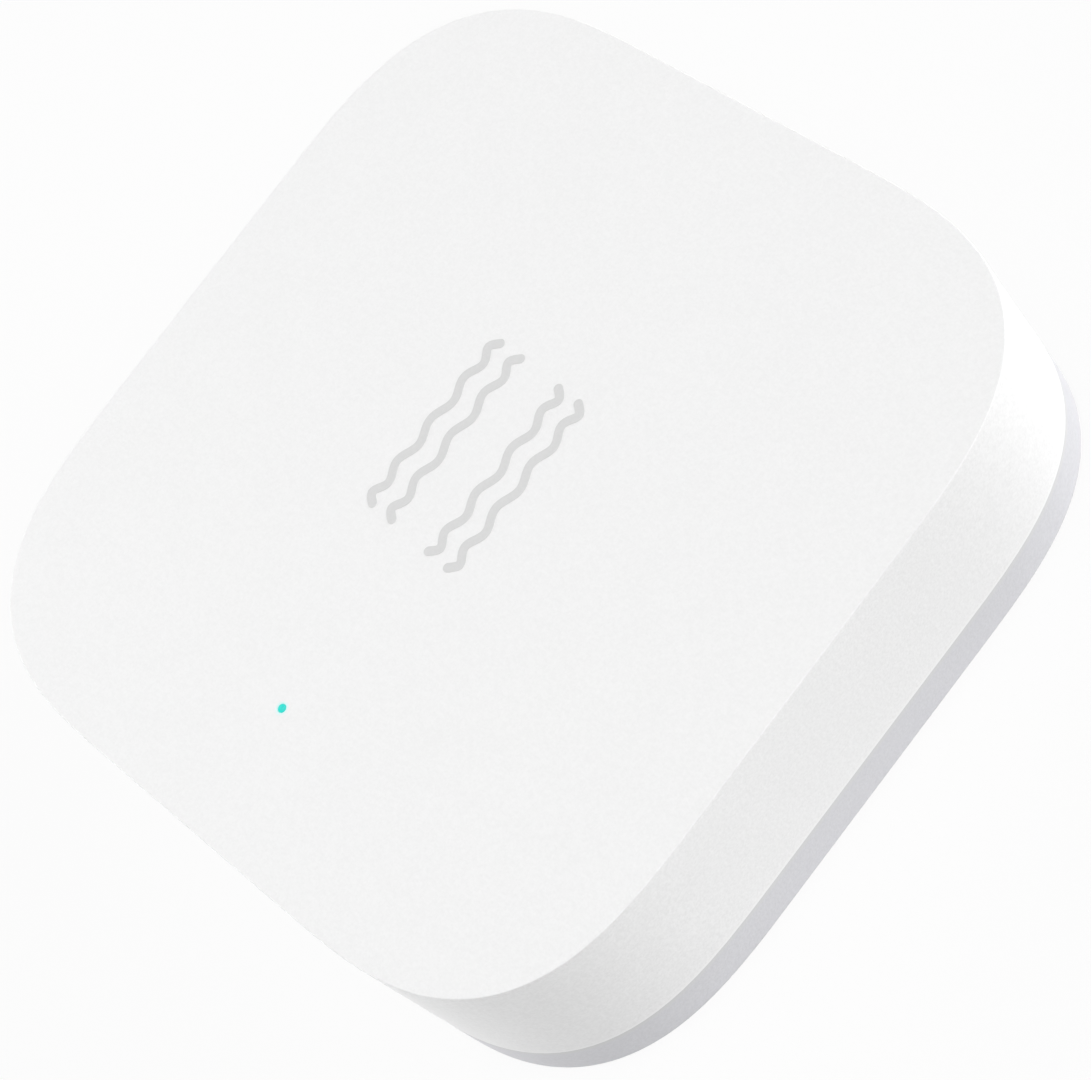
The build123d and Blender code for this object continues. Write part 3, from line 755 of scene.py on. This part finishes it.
def dress(material: bpy.types.Material, *nodes: str) -> None:
    """Gives CAD nodes their material.

    Args:
        material: The material for all their slots.
        nodes: Names of the nodes.
    """
    for node in nodes:
        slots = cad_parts[node].data.materials
        slots.clear()
        slots.append(material)
        log.info("%s: dressed as %s", node, material.name)


# Sub-assemblies


@dataclass(frozen=True)
class WaveStroke:
    """One printed wave stroke: the middle of its line in millimetres, and the side that it bulges to."""

    number: int
    x: float
    y: float
    bulge: float


@dataclass
class WaveMarks:
    """The four grey wave strokes printed on the face, with their sizes in millimetres."""

    swing: float = 0.178
    reach: float = 4.428
    bend: float = 0.25
    turns: int = 4
    lean: float = 0.024
    hook_across: float = 0.207
    hook_along: float = 4.077
    hook_bow: float = 1.4
    stroke_width: float = 0.405
    ink_height: float = 0.02
    ink_root: float = 0.02
    steps_per_turn: int = 10
    hook_steps: int = 6
    end_segments: int = 12
    clear_share: float = 0.995
    strokes: tuple[WaveStroke, ...] = (
        WaveStroke(1, -3.033, 0.5715, -1.0),
        WaveStroke(2, -1.7253, 0.486, -1.0),
        WaveStroke(3, 1.1268, 0.3015, 1.0),
        WaveStroke(4, 2.3832, 0.216, 1.0),
    )

    def middle_line(self, stroke: WaveStroke) -> list[Vector]:
        """Points of a stroke's middle line, on the face's plane.

        Args:
            stroke: The stroke.

        Returns:
            The points in millimetres, from one rounded end to the other.
        """
        half: list[Vector] = []
        for step in range(self.turns * self.steps_per_turn + 1):
            turn = step / self.steps_per_turn
            half.append(Vector((cos(pi * turn) * self.swing, self.reach * sin(self.bend * turn))))
        last = half[-1].copy()
        for step in range(1, self.hook_steps + 1):
            share = step / self.hook_steps
            across = last.x - (self.hook_across + self.swing) * share**self.hook_bow
            half.append(Vector((across, last.y + (self.hook_along - last.y) * share)))
        points = []
        for p in [Vector((p.x, -p.y)) for p in reversed(half[1:])] + half:
            y = stroke.y + p.y
            points.append(Vector((stroke.x + stroke.bulge * p.x + self.lean * y, y)))
        return points

    def outline(self, stroke: WaveStroke) -> list[Vector]:
        """Outline of a stroke: both sides of its middle line and a half round at each end.

        Args:
            stroke: The stroke.

        Returns:
            The corners in millimetres, anticlockwise.
        """
        line = self.middle_line(stroke)
        radius = self.stroke_width / 2.0
        before, after = [line[0], *line[:-1]], [*line[1:], line[-1]]
        courses = [(b - a).normalized() for a, b in zip(before, after)]
        across = [Vector((course.y, -course.x)) * radius for course in courses]
        right = [p + a for p, a in zip(line, across)]
        left = [p - a for p, a in zip(line, across)]
        clear = radius * self.clear_share
        sides = [[q for q in side if min((q - p).length for p in line) > clear] for side in (right, left)]
        caps = []
        for middle, course in ((line[-1], courses[-1]), (line[0], -courses[0])):
            turn = atan2(course.y, course.x) - pi / 2.0
            angles = [turn + pi * step / self.end_segments for step in range(1, self.end_segments)]
            caps.append([middle + Vector((cos(angle), sin(angle))) * radius for angle in angles])
        return sides[0] + caps[0] + sides[1][::-1] + caps[1]

    def build(self, face_level: float, material: bpy.types.Material) -> None:
        """Makes the strokes as thin solids on the face.

        Each is a filled ring of corners drawn along its outline, then extruded to the ink's height.

        Args:
            face_level: Level of the face, in metres.
            material: The ink.
        """
        root = Vector((0.0, 0.0, face_level - self.ink_root * MM))
        rise = Vector((0.0, 0.0, (self.ink_height + self.ink_root) * MM))
        for stroke in self.strokes:
            corners = self.outline(stroke)
            Bench.clear()
            bpy.ops.mesh.primitive_circle_add(
                vertices=len(corners), radius=MM, fill_type="NGON", location=root
            )
            item = bpy.context.object
            for vertex, corner in zip(item.data.vertices, corners):
                vertex.co = (*(corner * MM), 0.0)
            bpy.ops.object.mode_set(mode="EDIT")
            bpy.ops.mesh.select_all(action="SELECT")
            bpy.ops.mesh.extrude_region_move(TRANSFORM_OT_translate={"value": rise})
            bpy.ops.mesh.select_all(action="SELECT")
            bpy.ops.mesh.normals_make_consistent(inside=False)
            bpy.ops.object.mode_set(mode="OBJECT")
            Bench.settle(item, f"wave_mark_{stroke.number}", material, "housing", "base_grey")


@dataclass
class Cover:
    """White cover with its light pipe and the printed marks."""

    # Its band beside the seam is a painted highlight line
    plastic: CoverPlastic = CoverPlastic("cover_white", (0.90, 0.90, 0.90), roughness=0.46)
    guide: LightGuide = LightGuide("light_guide", (0.005, 0.28, 0.25), (0.005, 0.44, 0.39))
    ink: GrainedMatter = GrainedMatter(
        "mark_ink",
        (0.69, 0.69, 0.69),
        grain_size=0.13 * MM,
        grain_depth=0.001 * MM,
        grain_detail=3.0,
        tones=(0.985, 1.015),
        roughness=(0.5, 0.6),
    )
    marks: WaveMarks = field(default_factory=WaveMarks)

    def build(self) -> None:
        """Dresses the cover and its light pipe, and prints the marks."""
        dress(self.plastic.make(), "top_cover")
        dress(self.guide.make(), "light_pipe")
        self.marks.build(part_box("top_cover")[1][2], self.ink.make())


@dataclass
class Base:
    """Grey base and the foam tape under it."""

    # Its band beside the seam is painted light: a more neutral tone just below the seam
    plastic: SeamLightPlastic = SeamLightPlastic(
        "base_grey", (0.68, 0.68, 0.708), band_width=0.3 * MM, seam_light_color=(0.69, 0.69, 0.70)
    )
    foam: FoamTape = FoamTape("foam_tape", (0.72, 0.72, 0.72))

    def build(self) -> None:
        """Dresses the base and its tape."""
        dress(self.plastic.make(), "base_cover")
        dress(self.foam.make(), "adhesive_pad")


@dataclass
class ButtonSwitch:
    """Reset button and the switch that it presses."""

    cap: MouldedPlastic = MouldedPlastic("button_white", (0.89, 0.89, 0.89), roughness=0.42)
    block: MouldedPlastic = MouldedPlastic("switch_black", (0.02, 0.02, 0.021), roughness=0.42)
    stem: MouldedPlastic = MouldedPlastic("nylon_white", (0.78, 0.78, 0.74), roughness=0.38)
    steel: SheetMetal = SheetMetal("stamped_steel", (0.66, 0.66, 0.66))

    def build(self) -> None:
        """Dresses the button and the switch."""
        dress(self.cap.make(), "reset_button")
        dress(self.block.make(), "switch_base")
        dress(self.stem.make(), "switch_plunger")
        dress(self.steel.make(), "switch_frame", "switch_dome")


@dataclass
class Holder:
    """Moulded ring that clips the cell to the board, and its two sprung contacts."""

    plastic: MouldedPlastic = MouldedPlastic(
        "holder_black", (0.018, 0.018, 0.019), roughness=0.44, grain_depth=0.0024 * MM
    )
    strip: SheetMetal = SheetMetal(
        "contact_nickel", (0.70, 0.67, 0.60), roughness=0.22, streaks=(12.0, 1.0, 12.0)
    )

    def build(self) -> None:
        """Dresses the holder and its contacts."""
        dress(self.plastic.make(), "cell_holder")
        dress(self.strip.make(), "positive_contact", "negative_contact")


@dataclass
class CoinCell:
    """Coin cell: can, cap, gasket and what they hold."""

    can: TurnedCan = TurnedCan("cell_steel", (0.68, 0.68, 0.67))
    cap: TurnedCan = TurnedCan("cap_steel", (0.66, 0.66, 0.66), ring_pitch=0.15 * MM, roughness=0.28)
    nylon: MouldedPlastic = MouldedPlastic("gasket_nylon", (0.74, 0.74, 0.71), roughness=0.35)
    powder: GrainedMatter = GrainedMatter("pressed_cathode", (0.025, 0.025, 0.027))
    felt: GrainedMatter = GrainedMatter("separator_felt", (0.8, 0.8, 0.77), grain_size=0.35 * MM)
    lithium: SheetMetal = SheetMetal("lithium_disc", (0.55, 0.55, 0.53), roughness=0.5)

    def build(self) -> None:
        """Dresses the cell's pieces."""
        dress(self.can.make(), "cell_can")
        dress(self.cap.make(), "cell_cap")
        dress(self.nylon.make(), "cell_gasket")
        dress(self.powder.make(), "cell_cathode")
        dress(self.felt.make(), "cell_separator")
        dress(self.lithium.make(), "cell_anode")


SMALL_CHIP: Span = (1.6 * MM, 0.8 * MM)
BUFFER_CHIP: Span = (3.2 * MM, 2.5 * MM)
TAN_CERAMIC: Color = (0.35, 0.22, 0.12)


@dataclass(frozen=True)
class ChipGroup:
    """Circuit parts of one kind and of one length and width.

    Each row of shares is a part's place along X and along Y, as shares of the board's half width, and its
    turn in degrees.
    """

    node: str
    finish: str
    color: Color
    size: Span
    shares: tuple[Point, ...]


@dataclass
class Board:
    """Circuit board and what is soldered or screwed to it."""

    half_width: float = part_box("circuit_board")[1][0]
    mask: SolderMask = SolderMask(
        "solder_mask", (0.012, 0.085, 0.042), over_copper=(0.03, 0.17, 0.075), edge=(0.52, 0.46, 0.27)
    )
    zinc: SheetMetal = SheetMetal(
        "zinc_plate", (0.60, 0.60, 0.62), roughness=0.3, streaks=(1.0, 1.0, 1.0)
    )
    epoxy: MouldedPlastic = MouldedPlastic("chip_epoxy", (0.02, 0.02, 0.022), grain_depth=0.003 * MM)
    lid: SheetMetal = SheetMetal("crystal_lid", (0.72, 0.68, 0.58), roughness=0.25)
    gold: SheetMetal = SheetMetal(
        "gold_plate", (0.86, 0.62, 0.28), roughness=0.26, streaks=(3.0, 3.0, 1.0)
    )
    lens: MouldedPlastic = MouldedPlastic("light_chip", (0.82, 0.8, 0.66), roughness=0.25)
    groups: tuple[ChipGroup, ...] = (
        ChipGroup(
            "buffer_capacitors",
            "buffer_ceramic",
            TAN_CERAMIC,
            BUFFER_CHIP,
            ((0.66, -0.2, 0), (0.66, 0.2, 0)),
        ),
        ChipGroup(
            "capacitors",
            "tan_ceramic",
            TAN_CERAMIC,
            SMALL_CHIP,
            (
                (-0.1, 0.17, 90),
                (-0.1, -0.03, 90),
                (0.3, 0.24, 0),
                (0.3, -0.24, 0),
                (-0.12, -0.4, 90),
                (0.16, 0.62, 0),
            ),
        ),
        ChipGroup(
            "resistors",
            "black_glaze",
            (0.02, 0.02, 0.024),
            SMALL_CHIP,
            ((0.12, 0.4, 90), (-0.16, 0.56, 0), (0.2, -0.62, 0), (0.36, -0.62, 0), (0.1, -0.4, 90)),
        ),
        ChipGroup(
            "inductors",
            "grey_ceramic",
            (0.16, 0.17, 0.19),
            SMALL_CHIP,
            ((-0.62, -0.4, 90), (-0.62, 0.4, 90)),
        ),
    )

    def places(self, group: ChipGroup) -> tuple[ChipPlace, ...]:
        """Places of a group's parts on the board."""
        half = self.half_width
        return tuple(ChipPlace(x * half, y * half, turn, *group.size) for x, y, turn in group.shares)

    def build(self) -> None:
        """Dresses the board and its parts."""
        dress(self.mask.make(), "circuit_board")
        dress(self.zinc.make(), "board_screws")
        dress(self.epoxy.make(), "radio_chip", "accelerometer_chip")
        dress(self.lid.make(), "main_crystal", "clock_crystal")
        dress(self.gold.make(), "printed_antenna", "test_points")
        dress(self.lens.make(), "led_chip")
        for group in self.groups:
            dress(EndedCeramic(group.finish, group.color, self.places(group)).make(), group.node)


# Studio


class Spread(Enum):
    """How large a lamp is, in metres."""

    BROAD = 1.8
    MEDIUM = 1.1


@dataclass(frozen=True)
class SoftLamp:
    """Square soft lamp aimed at the object.

    Its level is the share of full light that it gives a white surface which faces it.
    """

    name: str
    azimuth: float
    elevation: float
    level: float
    spread: Spread
    distance: float = 1.6

    def place(self, target: Vector) -> None:
        """Adds the lamp.

        Args:
            target: The point that it is aimed at.
        """
        turn, rise = radians(self.azimuth), radians(self.elevation)
        toward = Vector((cos(rise) * cos(turn), cos(rise) * sin(turn), sin(rise)))
        light = bpy.data.lights.new(self.name, "AREA")
        light.size = self.spread.value
        light.energy = self.level * (pi * self.distance) ** 2
        lamp = bpy.data.objects.new(self.name, light)
        lamp.location = target + toward * self.distance
        lamp.rotation_euler = (-toward).to_track_quat("-Z", "Y").to_euler()
        bpy.context.scene.collection.objects.link(lamp)
        log.info("lamp %s at %.0f, %.0f degrees", self.name, self.azimuth, self.elevation)


@dataclass
class Studio:
    """Camera, floor, world and lamps. The eye, the lens and its sensor are in millimetres."""

    eye: Point = (76.22, -8.94, 103.78)
    right: Point = (0.65937, 0.60623, -0.44466)
    up: Point = (-0.45259, 0.79234, 0.40911)
    lens: float = 102.19
    sensor: float = 36.0
    near: float = 0.01
    far: float = 20.0
    floor_half: float = 3.0
    floor_drop: float = 0.0001 * MM
    floor_color: Color = (0.72, 0.72, 0.72)
    floor_lift: float = 0.93
    fibre_size: float = 0.4 * MM
    fibre_tones: Span = (0.995, 1.0)
    ambient: float = 0.02
    lamps: tuple[SoftLamp, ...] = (
        SoftLamp("right", 50.0, 30.0, 0.59, Spread.MEDIUM),
        SoftLamp("side", 85.0, 14.0, 0.55, Spread.MEDIUM),
        SoftLamp("left", -150.0, 10.0, 1.14, Spread.BROAD),
        SoftLamp("front", -110.0, 12.0, 0.22, Spread.MEDIUM),
        SoftLamp("high", 0.0, 45.0, 0.21, Spread.BROAD),
        SoftLamp("overhead", -45.0, 60.0, 0.42, Spread.BROAD),
    )

    def build(self) -> None:
        """Sets up everything round the object."""
        self._camera()
        self._floor()
        self._world()
        low, high = (Vector(corner) for corner in cad_box)
        for lamp in self.lamps:
            lamp.place((low + high) / 2.0)
        bpy.context.scene.view_settings.view_transform = "Standard"

    def _camera(self) -> None:
        """Adds the camera at the photograph's view."""
        data = bpy.data.cameras.new("camera")
        data.sensor_width = self.sensor
        data.sensor_fit = "HORIZONTAL"
        data.lens = self.lens
        data.clip_start = self.near
        data.clip_end = self.far
        camera = bpy.data.objects.new("camera", data)
        right = Vector(self.right).normalized()
        up = (Vector(self.up) - right * right.dot(Vector(self.up))).normalized()
        pose = Matrix((right, up, right.cross(up))).transposed().to_4x4()
        pose.translation = Vector(self.eye) * MM
        camera.matrix_world = pose
        bpy.context.scene.collection.objects.link(camera)
        bpy.context.scene.camera = camera

    def _floor(self) -> None:
        """Adds the pale floor, lifted to white for the camera, with the object's shadow kept."""
        Bench.clear()
        bpy.ops.mesh.primitive_plane_add(size=2.0 * self.floor_half, location=(0.0, 0.0, -self.floor_drop))
        floor = bpy.context.object
        floor.name = "floor"
        sheet = ShaderSheet(bpy.data.materials.new("floor_paper"))
        tone = sheet.toned(sheet.noise(self.fibre_size, detail=3.0), self.floor_color, self.fibre_tones)
        paper = sheet.node("ShaderNodeBsdfDiffuse", None, {"Color": tone})
        white = sheet.node("ShaderNodeEmission", None, {"Color": WHITE, "Strength": 1.0})
        lift = self._seen(sheet) * self.floor_lift
        mixed = sheet.node("ShaderNodeMixShader", None, {0: lift, 1: paper, 2: white})
        floor.data.materials.append(sheet.close(mixed))

    @staticmethod
    def _seen(sheet: ShaderSheet) -> Value:
        """1 for rays from the camera, a mirror or glass, and 0 for the rest.

        Args:
            sheet: The node sheet of the floor or the world.

        Returns:
            The mask of those rays.
        """
        path = sheet.node("ShaderNodeLightPath").socket.node
        names = ("Is Camera Ray", "Is Glossy Ray", "Is Transmission Ray")
        return reduce(Value.highest, [Value(sheet, path.outputs[name]) for name in names])

    def _world(self) -> None:
        """Adds a white world that is dimmer as a light than it looks."""
        world = bpy.data.worlds.new("studio_world")
        sheet = ShaderSheet(world)
        strength = self._seen(sheet) * (1.0 - self.ambient) + self.ambient
        background = sheet.node("ShaderNodeBackground", None, {"Color": WHITE, "Strength": strength})
        sheet.node("ShaderNodeOutputWorld", None, {"Surface": background})
        bpy.context.scene.world = world


def main() -> None:
    """Builds the sub-assemblies in order, then the studio."""
    for assembly in (Cover(), Base(), ButtonSwitch(), Holder(), CoinCell(), Board(), Studio()):
        assembly.build()
        log.info("%s is done", type(assembly).__name__)
    Bench.clear()


if __name__ == "__main__":
    main()
